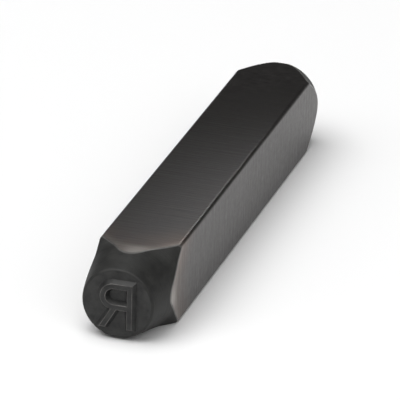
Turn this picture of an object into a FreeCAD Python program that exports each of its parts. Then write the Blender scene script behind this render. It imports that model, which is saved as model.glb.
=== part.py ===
"""Steel letter punch: a square hardened bar with a turned nose, a raised letter and a turned striking end.

One solid. The punch lies on one flat of its shank. Y runs along the bar from the letter (-Y) to the
striking face (+Y), X to the right and Z up. The origin is on the resting flat, at mid-length.
"""
import FreeCAD, Part
import math
import os

from FreeCAD import Vector

# Driving dimensions, in millimetres.
shank_width = 9.5            # across the flats of the square bar
overall_length = 63.5        # from the crest of the letter to the striking face
shank_corner_radius = 0.45   # the four long corners are slightly rounded

rim_radius = 4.2             # the nose at the face that carries the letter
neck_length = 4.75           # from that face back to the hollow where the shoulder starts
neck_angle = 14.5            # slope of the neck
shoulder_angle = 34.0        # steeper slope that runs out through the square corners
hollow_radius = 3.0          # blend between those two slopes
rim_rounding = 0.45          # soft edge round that face
ridge_rounding = 0.35        # tumbling eases the ridges where the flats meet the turned surfaces

# Both ends were turned with the bar slightly out of centre in the chuck.
nose_shift = (-0.42, -0.30)          # across and up
striking_end_shift = (-0.15, 0.05)   # across and up

striking_end_length = 4.6    # about how far the struck face lies beyond the square corners
striking_end_angle = 22.5    # slope of the turned striking end
striking_edge_rounding = 0.6  # soft edge round the struck face

letter_height = 5.4          # the most that stands safely inside the rim
letter_width = 3.8
letter_relief = 0.65         # height of the crest above the face
stroke_width = 0.6           # width of the flat crest
letter_draft = 28.0          # slope of the flanks, from the punch's axis
letter_root = 0.2            # how far the flanks run on inside the nose

# Places that follow from them.
half_width = shank_width / 2
axis_height = half_width
nose_end = -overall_length / 2
striking_face = overall_length / 2
face_plane = nose_end + letter_relief
corner_reach = half_width * math.sqrt(2) - shank_corner_radius * (math.sqrt(2) - 1)
clear_reach = half_width * math.sqrt(2) + 2.0

# How far a surface's normal leans along the bar, from 0 to 1.
along_the_bar = 0.01         # less than this: a flat or a long corner
turned_slope = 0.05          # more than this: a turned surface


def square_bar():
    """The square bar with its long corners rounded, over the whole length."""
    bar = Part.makeBox(shank_width, overall_length, shank_width, Vector(-half_width, nose_end, 0))
    long_edges = [edge for edge in bar.Edges if abs(edge.tangentAt(0).y) > 0.99]
    return bar.makeFillet(shank_corner_radius, long_edges)


def rounding(before, corner, after, radius):
    """Tangent arc of a given radius where two straight runs of a profile meet at a corner."""
    towards_before = (before - corner).normalize()
    towards_after = (after - corner).normalize()
    half_angle = towards_before.getAngle(towards_after) / 2
    setback = radius / math.tan(half_angle)
    bisector = (towards_before + towards_after).normalize()
    middle = corner + bisector * (radius / math.sin(half_angle) - radius)
    return Part.Arc(corner + towards_before * setback, middle, corner + towards_after * setback)


def turned_solid(outline_edges):
    """The solid that a profile sweeps round the Y axis, from its edges in the XY plane."""
    outline = Part.Wire([edge.toShape() for edge in outline_edges])
    return Part.Face(outline).revolve(Vector(0, 0, 0), Vector(0, 1, 0), 360)


def turned_nose():
    """What the lathe leaves of the nose, from the face that carries the letter backwards."""
    neck_slope = math.tan(math.radians(neck_angle))
    shoulder_slope = math.tan(math.radians(shoulder_angle))
    hollow_reach = rim_radius + neck_length * neck_slope
    hollow_place = face_plane + neck_length

    face_centre = Vector(0, face_plane, 0)
    rim = Vector(rim_radius, face_plane, 0)
    hollow = Vector(hollow_reach, hollow_place, 0)
    shoulder_top = Vector(clear_reach, hollow_place + (clear_reach - hollow_reach) / shoulder_slope, 0)
    back_rim = Vector(clear_reach, striking_face, 0)
    back_centre = Vector(0, striking_face, 0)

    edge = rounding(face_centre, rim, hollow, rim_rounding)
    blend = rounding(rim, hollow, shoulder_top, hollow_radius)
    nose = turned_solid([
        Part.LineSegment(face_centre, edge.StartPoint),
        edge,
        Part.LineSegment(edge.EndPoint, blend.StartPoint),
        blend,
        Part.LineSegment(blend.EndPoint, shoulder_top),
        Part.LineSegment(shoulder_top, back_rim),
        Part.LineSegment(back_rim, back_centre),
        Part.LineSegment(back_centre, face_centre),
    ])
    across, up = nose_shift
    nose.translate(Vector(across, 0, axis_height + up))
    return nose


def turned_striking_end():
    """What the lathe leaves of the striking end, from the struck face forwards."""
    slope = math.tan(math.radians(striking_end_angle))
    struck_radius = corner_reach - striking_end_length * slope
    corner_finish = striking_face - striking_end_length

    front_centre = Vector(0, nose_end, 0)
    front_rim = Vector(clear_reach, nose_end, 0)
    taper_top = Vector(clear_reach, corner_finish - (clear_reach - corner_reach) / slope, 0)
    struck_rim = Vector(struck_radius, striking_face, 0)
    struck_centre = Vector(0, striking_face, 0)

    edge = rounding(taper_top, struck_rim, struck_centre, striking_edge_rounding)
    end = turned_solid([
        Part.LineSegment(front_centre, front_rim),
        Part.LineSegment(front_rim, taper_top),
        Part.LineSegment(taper_top, edge.StartPoint),
        edge,
        Part.LineSegment(edge.EndPoint, struck_centre),
        Part.LineSegment(struck_centre, front_centre),
    ])
    across, up = striking_end_shift
    end.translate(Vector(across, 0, axis_height + up))
    return end


def ridges(blank):
    """The edges where a surface that runs along the bar meets a turned one."""
    picked = []
    for edge in blank.Edges:
        middle = edge.valueAt((edge.FirstParameter + edge.LastParameter) / 2)
        slopes = []
        for face in blank.ancestorsOfType(edge, Part.Face):
            u, v = face.Surface.parameter(middle)
            slopes.append(abs(face.normalAt(u, v).y))
        if min(slopes) < along_the_bar and max(slopes) > turned_slope:
            picked.append(edge)
    return picked


def letter_point(across, up, depth):
    """A point of the letter as it is stamped, turned into its mirror image on the punch."""
    centre_across, centre_up = nose_shift
    return Vector(centre_across - across, nose_end + depth, axis_height + centre_up + up)


def widened(corners, distance):
    """The same counter-clockwise polygon with every side moved outwards by a distance."""
    moved = []
    for index, corner in enumerate(corners):
        before = corners[index - 1]
        after = corners[(index + 1) % len(corners)]
        first = (corner - before).normalize()
        second = (after - corner).normalize()
        first_out = Vector(first.y, -first.x, 0)
        second_out = Vector(second.y, -second.x, 0)
        mitre = (first_out + second_out) * (distance / (1 + first_out.dot(second_out)))
        moved.append(corner + mitre)
    return moved


def flank_spread():
    """How much wider a flank is at the root of the letter than at its crest."""
    return (letter_relief + letter_root) * math.tan(math.radians(letter_draft))


def straight_stroke(corners):
    """A straight stroke with sloping flanks on all its sides, from the corners of its crest."""
    root_depth = letter_relief + letter_root
    crest = Part.makePolygon([letter_point(c.x, c.y, 0) for c in corners + corners[:1]])
    spread = widened(corners, flank_spread())
    root = Part.makePolygon([letter_point(c.x, c.y, root_depth) for c in spread + spread[:1]])
    return Part.makeLoft([crest, root], True, True)


def round_stroke(centre, radius):
    """A half ring with sloping flanks, open towards the stem: the round of the letter's bowl."""
    root_depth = letter_relief + letter_root
    half_crest = stroke_width / 2
    half_root = half_crest + flank_spread()
    section = [
        letter_point(centre.x, centre.y + radius - half_crest, 0),
        letter_point(centre.x, centre.y + radius + half_crest, 0),
        letter_point(centre.x, centre.y + radius + half_root, root_depth),
        letter_point(centre.x, centre.y + radius - half_root, root_depth),
    ]
    face = Part.Face(Part.makePolygon(section + section[:1]))
    return face.revolve(letter_point(centre.x, centre.y, 0), Vector(0, -1, 0), 180)


def raised_letter():
    """A plain capital R in mirror image, which stamps the right way round."""
    half_stroke = stroke_width / 2
    left = -letter_width / 2
    right = letter_width / 2
    top = letter_height / 2
    bottom = -letter_height / 2
    waist = -0.15
    bowl_radius = (top - half_stroke - waist) / 2
    bowl_centre = Vector(right - half_stroke - bowl_radius, (top - half_stroke + waist) / 2, 0)
    leg_top = 0.15
    leg_slope = (right - half_stroke - leg_top) / (waist - bottom)
    leg_half = half_stroke * math.sqrt(1 + leg_slope ** 2)

    stem = [
        Vector(left, bottom, 0),
        Vector(left + stroke_width, bottom, 0),
        Vector(left + stroke_width, top, 0),
        Vector(left, top, 0),
    ]
    leg = [
        Vector(right - half_stroke - leg_half, bottom, 0),
        Vector(right - half_stroke + leg_half, bottom, 0),
        Vector(leg_top + leg_half, waist, 0),
        Vector(leg_top - leg_half, waist, 0),
    ]
    strokes = [straight_stroke(stem), straight_stroke(leg), round_stroke(bowl_centre, bowl_radius)]
    for level in (top - half_stroke, waist):
        strokes.append(straight_stroke([
            Vector(left + half_stroke, level - half_stroke, 0),
            Vector(bowl_centre.x, level - half_stroke, 0),
            Vector(bowl_centre.x, level + half_stroke, 0),
            Vector(left + half_stroke, level + half_stroke, 0),
        ]))
    return strokes[0].multiFuse(strokes[1:])


blank = square_bar().common(turned_nose()).common(turned_striking_end())
blank = blank.makeFillet(ridge_rounding, ridges(blank))
letter_punch = blank.fuse(raised_letter()).removeSplitter().Solids[0]

os.makedirs("parts", exist_ok=True)
letter_punch.exportStep("parts/letter_punch.step")
size = letter_punch.optimalBoundingBox()
print("valid", letter_punch.isValid(), "volume", round(letter_punch.Volume, 1))
print("x", round(size.XMin, 3), round(size.XMax, 3), "y", round(size.YMin, 3), round(size.YMax, 3),
      "z", round(size.ZMin, 3), round(size.ZMax, 3))
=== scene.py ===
"""Steel letter punch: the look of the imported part, one section for each thing in the picture."""

import math

import bpy
import mathutils
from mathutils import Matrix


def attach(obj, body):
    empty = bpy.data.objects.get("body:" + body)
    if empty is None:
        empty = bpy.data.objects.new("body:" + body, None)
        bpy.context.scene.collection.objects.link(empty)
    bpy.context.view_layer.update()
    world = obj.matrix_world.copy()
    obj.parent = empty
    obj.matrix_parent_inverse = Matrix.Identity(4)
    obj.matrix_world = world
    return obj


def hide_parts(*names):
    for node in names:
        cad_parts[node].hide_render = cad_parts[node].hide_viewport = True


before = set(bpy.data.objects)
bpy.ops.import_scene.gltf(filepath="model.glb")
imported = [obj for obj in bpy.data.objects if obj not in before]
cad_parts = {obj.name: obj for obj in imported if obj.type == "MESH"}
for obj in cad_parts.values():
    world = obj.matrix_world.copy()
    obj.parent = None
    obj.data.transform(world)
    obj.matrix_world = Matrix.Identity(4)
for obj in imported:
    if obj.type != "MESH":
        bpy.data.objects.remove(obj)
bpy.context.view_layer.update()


# The picture is taken from the front right and above, along the punch from its letter towards its
# striking end, through a long lens that keeps the square bar almost parallel.
camera_place = (0.15276, -0.50302, 0.24110)
camera_turn = (65.736, -1.559, 17.655)
camera_lens = 440
camera_sensor = 36
nearest_seen = 0.01
farthest_seen = 20

bpy.ops.object.select_all(action="DESELECT")
bpy.ops.object.camera_add(location=camera_place, rotation=[math.radians(angle) for angle in camera_turn])
camera = bpy.context.object
camera.name = "camera"
camera.data.sensor_width = camera_sensor
camera.data.lens = camera_lens
camera.data.clip_start = nearest_seen
camera.data.clip_end = farthest_seen
bpy.context.scene.camera = camera
bpy.context.scene.view_settings.view_transform = "Standard"


# The punch: one piece of tool steel, ground square, turned at both ends, stamped, tumbled, hardened and
# then blackened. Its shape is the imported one, on which the edges of the letter's crest get a narrow bevel,
# because tumbling eases them too.
merge_distance = 0.00001
same_plane = math.radians(0.2)
letter_face = -0.03108
letter_crest = -0.0317
flat_lean = 0.01
crest_bevel = 0.00005
smooth_under = math.radians(40)
area_weight = 100

bpy.ops.object.select_all(action="DESELECT")
punch = bpy.data.objects.new("black_letter_punch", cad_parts["letter_punch"].data.copy())
bpy.context.collection.objects.link(punch)
bpy.context.view_layer.objects.active = punch
punch.select_set(True)
bpy.ops.mesh.customdata_custom_splitnormals_clear()
bpy.ops.object.mode_set(mode="EDIT")
bpy.ops.mesh.select_all(action="SELECT")
bpy.ops.mesh.remove_doubles(threshold=merge_distance)
bpy.ops.mesh.dissolve_limited(angle_limit=same_plane)
bpy.ops.object.mode_set(mode="OBJECT")


def linear(hex_colour):
    """An sRGB hex colour as the linear RGBA that the shaders take."""
    channels = [int(hex_colour[place:place + 2], 16) / 255 for place in (1, 3, 5)]
    return [c / 12.92 if c <= 0.04045 else ((c + 0.055) / 1.055) ** 2.4 for c in channels] + [1]


def add_node(tree, kind, settings, links):
    """Adds one node, sets its properties and sockets, and links other nodes' outputs to its sockets."""
    node = tree.nodes.new(kind)
    for name, value in settings.items():
        if isinstance(name, int) or name in node.inputs:
            node.inputs[name].default_value = value
        else:
            setattr(node, name, value)
    for name, source in links.items():
        tree.links.new(source, node.inputs[name])
    return node


def steel_material(name, metallic):
    """An empty material with a Principled shader and the piece's own coordinates, in metres."""
    material = bpy.data.materials.new(name)
    material.use_nodes = True
    tree = material.node_tree
    tree.nodes.clear()
    shader = add_node(tree, "ShaderNodeBsdfPrincipled", {"Metallic": metallic}, {})
    add_node(tree, "ShaderNodeOutputMaterial", {}, {"Surface": shader.outputs["BSDF"]})
    place = add_node(tree, "ShaderNodeTexCoord", {}, {}).outputs["Object"]
    return material, tree, shader, place


def cloudy(tree, place, size, stretch, contrast):
    """A soft pattern from 0 to 1 whose blotches measure size in metres, longer where stretch is under 1."""
    stretched = add_node(tree, "ShaderNodeMapping", {"Scale": stretch}, {"Vector": place})
    noise = add_node(tree, "ShaderNodeTexNoise", {"Scale": 1 / size, "Detail": 3.0, "Roughness": 0.6},
                     {"Vector": stretched.outputs["Vector"]})
    return add_node(tree, "ShaderNodeMapRange", {"From Min": 0.5 - contrast, "From Max": 0.5 + contrast},
                    {"Value": noise.outputs["Fac"]}).outputs["Result"]


# Ground flats: black oxide over a surface-ground bar, so thin that the steel shines through. The wheel leaves
# fine lines across the bar, drawn 0.45 mm apart, coarser than real, so that they show. Within 4.5 mm of the
# turned shape the colour is browner and a little lighter. Along the arches a light band is painted, strongest
# at the arches' points and set by how far steel lies inside the turned shape: partly wear, partly a painted
# highlight where the arch catches the light.
nose_to_origin = (0.00042, 0.0311, -0.00445)
highlight_centre_to_origin = (-0.0001, 0.0311, -0.0041)
rim_radius = 0.0042
neck_length = 0.00475
neck_slope = math.tan(math.radians(14.5))
shoulder_slope = math.tan(math.radians(34))
shoulder_start = rim_radius + neck_length * (neck_slope - shoulder_slope)
rub_and_highlight_band = 0.0012
brown_reach = 0.0045
point_reach = 0.002
rub_and_highlight_past_point = 0.35
grinding_gap = 0.00045
along_the_grinding = (0.05, 1, 0.05)
grinding_depth = 0.00005
patch_size = 0.009
along_the_bar = (1, 0.5, 1)
speckle_size = 0.0007
crosswise = (1, 0, 1)
even = (1, 1, 1)

flat_black, tree, shader, place = steel_material("black_oxide_on_ground_steel", 0.9)
face_place = add_node(tree, "ShaderNodeMapping", {"Location": nose_to_origin}, {"Vector": place})
from_face = face_place.outputs["Vector"]
behind_face = add_node(tree, "ShaderNodeSeparateXYZ", {}, {"Vector": from_face}).outputs["Y"]
outwards = add_node(tree, "ShaderNodeVectorMath", {"operation": "MULTIPLY", 1: crosswise}, {0: from_face})
radius = add_node(tree, "ShaderNodeVectorMath", {"operation": "LENGTH"}, {0: outwards.outputs["Vector"]})
neck = add_node(tree, "ShaderNodeMath", {"operation": "MULTIPLY_ADD", 1: neck_slope, 2: rim_radius},
                {0: behind_face})
shoulder = add_node(tree, "ShaderNodeMath",
                    {"operation": "MULTIPLY_ADD", 1: shoulder_slope, 2: shoulder_start}, {0: behind_face})
turned = add_node(tree, "ShaderNodeMath", {"operation": "MAXIMUM"},
                  {0: neck.outputs["Value"], 1: shoulder.outputs["Value"]})
inside = add_node(tree, "ShaderNodeMath", {"operation": "SUBTRACT"},
                  {0: turned.outputs["Value"], 1: radius.outputs["Value"]})
band = add_node(tree, "ShaderNodeMapRange",
                {"interpolation_type": "SMOOTHSTEP", "From Max": rub_and_highlight_band, "To Min": 1, "To Max": 0},
                {"Value": inside.outputs["Value"]})
brown = add_node(tree, "ShaderNodeMapRange",
                 {"interpolation_type": "SMOOTHSTEP", "From Max": brown_reach, "To Min": 1, "To Max": 0},
                 {"Value": inside.outputs["Value"]})
from_highlight_centre = add_node(tree, "ShaderNodeMapping", {"Location": highlight_centre_to_origin}, {"Vector": place})
aside = add_node(tree, "ShaderNodeVectorMath", {"operation": "ABSOLUTE"}, {0: from_highlight_centre.outputs["Vector"]})
sides = add_node(tree, "ShaderNodeSeparateXYZ", {}, {"Vector": aside.outputs["Vector"]})
off_point = add_node(tree, "ShaderNodeMath", {"operation": "MINIMUM"},
                     {0: sides.outputs["X"], 1: sides.outputs["Z"]})
point = add_node(tree, "ShaderNodeMapRange",
                 {"interpolation_type": "SMOOTHSTEP", "From Max": point_reach, "To Min": 1,
                  "To Max": rub_and_highlight_past_point}, {"Value": off_point.outputs["Value"]})
rub_and_highlight = add_node(tree, "ShaderNodeMath", {"operation": "MULTIPLY"},
               {0: band.outputs["Result"], 1: point.outputs["Result"]})

grinding = cloudy(tree, place, grinding_gap, along_the_grinding, contrast=0.22)
patches = cloudy(tree, place, patch_size, along_the_bar, contrast=0.16)
speckle = cloudy(tree, place, speckle_size, even, contrast=0.3)
browned = add_node(tree, "ShaderNodeMix", {"data_type": "RGBA", 6: linear("#605957"), 7: linear("#73665f")},
                   {0: patches})
thin = add_node(tree, "ShaderNodeMix", {"data_type": "RGBA", 6: linear("#575554")},
                {0: brown.outputs["Result"], 7: browned.outputs[2]})
lined = add_node(tree, "ShaderNodeMix", {"data_type": "RGBA", 6: linear("#494847")},
                 {0: grinding, 7: thin.outputs[2]})
oxide = add_node(tree, "ShaderNodeMix", {"data_type": "RGBA"},
                 {0: speckle, 6: lined.outputs[2], 7: thin.outputs[2]})
# The light band along the arches: partly wear, partly a painted highlight where the arch catches the light.
colour = add_node(tree, "ShaderNodeMix", {"data_type": "RGBA", 7: linear("#9e9994")},
                  {0: rub_and_highlight.outputs["Value"], 6: oxide.outputs[2]})
tree.links.new(colour.outputs[2], shader.inputs["Base Color"])
rough = add_node(tree, "ShaderNodeMapRange", {"To Min": 0.33, "To Max": 0.46}, {"Value": speckle})
tree.links.new(rough.outputs["Result"], shader.inputs["Roughness"])
bump = add_node(tree, "ShaderNodeBump", {"Strength": 0.4, "Distance": grinding_depth}, {"Height": grinding})
tree.links.new(bump.outputs["Normal"], shader.inputs["Normal"])

# Turned ends: the same oxide over lathe work and heat scale, darker and duller. The tool leaves rings round
# the axis, on the slopes and on the struck face, drawn 0.3 mm apart so that they show. The ridges where the
# flats meet the slopes are lighter and glossier in stretches, partly wear and partly a painted highlight
# along
# the ridge: there the steel lies just under the skin of the square bar.
axis_to_origin = (0, 0, -0.00475)
corner_centre = (0.0043, 0, 0.0043)
ridge_start = 0.00035
ridge_full = 0.00043
ridge_roughness = 0.38
worn_stretch = 0.0022
ring_gap = 0.0003
ring_depth = 0.00003
scale_patch = 0.0012

turned_black, tree, shader, place = steel_material("black_oxide_on_turned_steel", 0.55)
axis_place = add_node(tree, "ShaderNodeMapping", {"Location": axis_to_origin}, {"Vector": place})
from_axis = axis_place.outputs["Vector"]
outwards = add_node(tree, "ShaderNodeVectorMath", {"operation": "MULTIPLY", 1: crosswise}, {0: from_axis})
radius = add_node(tree, "ShaderNodeVectorMath", {"operation": "LENGTH"}, {0: outwards.outputs["Vector"]})
apart = add_node(tree, "ShaderNodeSeparateXYZ", {}, {"Vector": from_axis})
tool_path = add_node(tree, "ShaderNodeCombineXYZ", {},
                     {"Y": apart.outputs["Y"], "Z": radius.outputs["Value"]})
rings = cloudy(tree, tool_path.outputs["Vector"], ring_gap, even, contrast=0.2)
scale_patches = cloudy(tree, place, scale_patch, even, contrast=0.22)
stretches = cloudy(tree, place, worn_stretch, even, contrast=0.2)

off_axis = add_node(tree, "ShaderNodeVectorMath", {"operation": "ABSOLUTE"}, {0: from_axis})
past_centre = add_node(tree, "ShaderNodeVectorMath", {"operation": "SUBTRACT", 1: corner_centre},
                       {0: off_axis.outputs["Vector"]})
in_corner = add_node(tree, "ShaderNodeVectorMath", {"operation": "MAXIMUM"},
                     {0: past_centre.outputs["Vector"]})
across = add_node(tree, "ShaderNodeVectorMath", {"operation": "MULTIPLY", 1: crosswise},
                  {0: in_corner.outputs["Vector"]})
reach = add_node(tree, "ShaderNodeVectorMath", {"operation": "LENGTH"}, {0: across.outputs["Vector"]})
ridge = add_node(tree, "ShaderNodeMapRange",
                 {"interpolation_type": "SMOOTHSTEP", "From Min": ridge_start, "From Max": ridge_full},
                 {"Value": reach.outputs["Value"]})

scaled = add_node(tree, "ShaderNodeMix", {"data_type": "RGBA", 6: linear("#1c1c1c"), 7: linear("#3a3a38")},
                  {0: scale_patches})
ringed = add_node(tree, "ShaderNodeMix", {"data_type": "RGBA", 7: linear("#2e2e2d")},
                  {0: rings, 6: scaled.outputs[2]})
# Lighter steel along the ridges: partly wear, partly a painted highlight along the ridge.
worn_and_highlight = add_node(tree, "ShaderNodeMix", {"data_type": "RGBA", 6: linear("#444343"), 7: linear("#84827f")},
                {0: stretches})
colour = add_node(tree, "ShaderNodeMix", {"data_type": "RGBA"},
                  {0: ridge.outputs["Result"], 6: ringed.outputs[2], 7: worn_and_highlight.outputs[2]})
tree.links.new(colour.outputs[2], shader.inputs["Base Color"])
dull = add_node(tree, "ShaderNodeMapRange", {"To Min": 0.5, "To Max": 0.64}, {"Value": scale_patches})
rough = add_node(tree, "ShaderNodeMix", {"data_type": "FLOAT", 3: ridge_roughness},
                 {0: ridge.outputs["Result"], 2: dull.outputs["Result"]})
tree.links.new(rough.outputs[0], shader.inputs["Roughness"])
bump = add_node(tree, "ShaderNodeBump", {"Strength": 0.4, "Distance": ring_depth}, {"Height": rings})
tree.links.new(bump.outputs["Normal"], shader.inputs["Normal"])

# The letter and the face round it: pressed cold into the end and never machined again, so it has a fine
# sandy grain, 0.25 mm across, and holds the darkest oxide.
sand_grain = 0.00025
sand_depth = 0.00003
smudge_size = 0.0013

letter_black, tree, shader, place = steel_material("black_oxide_on_pressed_steel", 0.55)
sand = cloudy(tree, place, sand_grain, even, contrast=0.25)
smudges = cloudy(tree, place, smudge_size, even, contrast=0.22)
colour = add_node(tree, "ShaderNodeMix", {"data_type": "RGBA", 6: linear("#252525"), 7: linear("#3e3e3d")},
                  {0: smudges})
tree.links.new(colour.outputs[2], shader.inputs["Base Color"])
rough = add_node(tree, "ShaderNodeMapRange", {"To Min": 0.45, "To Max": 0.6}, {"Value": smudges})
tree.links.new(rough.outputs["Result"], shader.inputs["Roughness"])
bump = add_node(tree, "ShaderNodeBump", {"Strength": 0.5, "Distance": sand_depth}, {"Height": sand})
tree.links.new(bump.outputs["Normal"], shader.inputs["Normal"])

# The edges of the letter's crest: handling rubs the oxide thin along them, so that bare steel glints through
# in short stretches, about 2 mm long as on the ridges.
crest_steel, tree, shader, place = steel_material("rubbed_arris_steel", 0.9)
stretches = cloudy(tree, place, worn_stretch, even, contrast=0.2)
colour = add_node(tree, "ShaderNodeMix", {"data_type": "RGBA", 6: linear("#3d3c3c"), 7: linear("#6a6866")},
                  {0: stretches})
tree.links.new(colour.outputs[2], shader.inputs["Base Color"])
shader.inputs["Roughness"].default_value = ridge_roughness

punch.data.materials.clear()
for material in (flat_black, turned_black, letter_black, crest_steel):
    punch.data.materials.append(material)
finishes = list(punch.data.materials)
punch.data.update()
for face in punch.data.polygons:
    if face.center.y < letter_face:
        finish = letter_black
    elif abs(face.normal.y) < flat_lean:
        finish = flat_black
    else:
        finish = turned_black
    face.material_index = finishes.index(finish)

bpy.ops.object.mode_set(mode="EDIT")
bpy.ops.mesh.select_mode(type="FACE")
bpy.ops.mesh.select_all(action="DESELECT")
bpy.ops.object.mode_set(mode="OBJECT")
for face in punch.data.polygons:
    face.select = face.center.y < letter_crest
bpy.ops.object.mode_set(mode="EDIT")
bpy.ops.mesh.region_to_loop()
bpy.ops.mesh.bevel(offset=crest_bevel, segments=2, affect="EDGES", clamp_overlap=False,
                   material=finishes.index(crest_steel))
bpy.ops.object.mode_set(mode="OBJECT")
bpy.ops.object.shade_smooth_by_angle(angle=smooth_under)
flat_normals = punch.modifiers.new("flat_normals", "WEIGHTED_NORMAL")
flat_normals.keep_sharp = True
flat_normals.weight = area_weight
bpy.ops.object.modifier_apply(modifier="flat_normals")
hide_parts("letter_punch")
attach(punch, "root")


# The floor: a plain pale sheet of matt paper that runs out of the picture on every side. It lies a
# hundredth of a millimetre under the punch, so that the two never share a plane.
floor_reach = 4
floor_gap = 0.00001

bpy.ops.object.select_all(action="DESELECT")
bpy.ops.mesh.primitive_circle_add(vertices=96, radius=floor_reach, fill_type="NGON",
                                  location=(0, 0, -floor_gap))
floor = bpy.context.object
floor.name = "floor"
paper = bpy.data.materials.new("matt_white_paper")
paper.use_nodes = True
paper_shader = paper.node_tree.nodes["Principled BSDF"]
paper_shader.inputs["Base Color"].default_value = linear("#f2f2f2")
paper_shader.inputs["Roughness"].default_value = 0.9
floor.data.materials.append(paper)


# The light: a pale room, a very large soft box overhead, smaller ones high on the right and left, and a
# narrow spot from behind that the top flat mirrors near the letter, most of all on its right.
def soft_box(name, place, size, power):
    """A square soft box that faces the punch."""
    bpy.ops.object.light_add(type="AREA", location=place)
    lamp = bpy.context.object
    lamp.name = name
    lamp.data.size = size
    lamp.data.energy = power
    lamp.rotation_euler = (-lamp.location).to_track_quat("-Z", "Y").to_euler()


soft_box("overhead_soft_box", place=(-0.3, -0.25, 1.5), size=1.6, power=25)
soft_box("right_soft_box", place=(0.8, -0.75, 0.95), size=1.0, power=4.6)
soft_box("left_soft_box", place=(-0.9, -0.7, 1.0), size=1.0, power=3.6)

lit_place = (0.015, -0.055, 0.0095)
spot_place = (-0.06, 0.43, 0.215)
spot_power = 1.5
spot_cone = math.radians(6)
spot_radius = 0.01

bpy.ops.object.light_add(type="SPOT", location=spot_place)
spot = bpy.context.object
spot.name = "back_spot"
spot.data.energy = spot_power
spot.data.spot_size = spot_cone
spot.data.spot_blend = 1
spot.data.shadow_soft_size = spot_radius
spot.rotation_euler = (mathutils.Vector(lit_place) - spot.location).to_track_quat("-Z", "Y").to_euler()

dim_side = (-0.27, 0.87, 0.41)
dim_start = 0.3
dim_full = 0.85

room = bpy.data.worlds.new("pale_room")
room.use_nodes = True
tree = room.node_tree
direction = add_node(tree, "ShaderNodeTexCoord", {}, {}).outputs["Generated"]
towards_dim = add_node(tree, "ShaderNodeVectorMath", {"operation": "DOT_PRODUCT", 1: dim_side},
                       {0: direction})
dimness = add_node(tree, "ShaderNodeMapRange",
                   {"interpolation_type": "SMOOTHSTEP", "From Min": dim_start, "From Max": dim_full},
                   {"Value": towards_dim.outputs["Value"]})
walls = add_node(tree, "ShaderNodeMix", {"data_type": "RGBA", 6: linear("#8a8a8a"), 7: linear("#262525")},
                 {0: dimness.outputs["Result"]})
tree.links.new(walls.outputs[2], tree.nodes["Background"].inputs["Color"])
bpy.context.scene.world = room
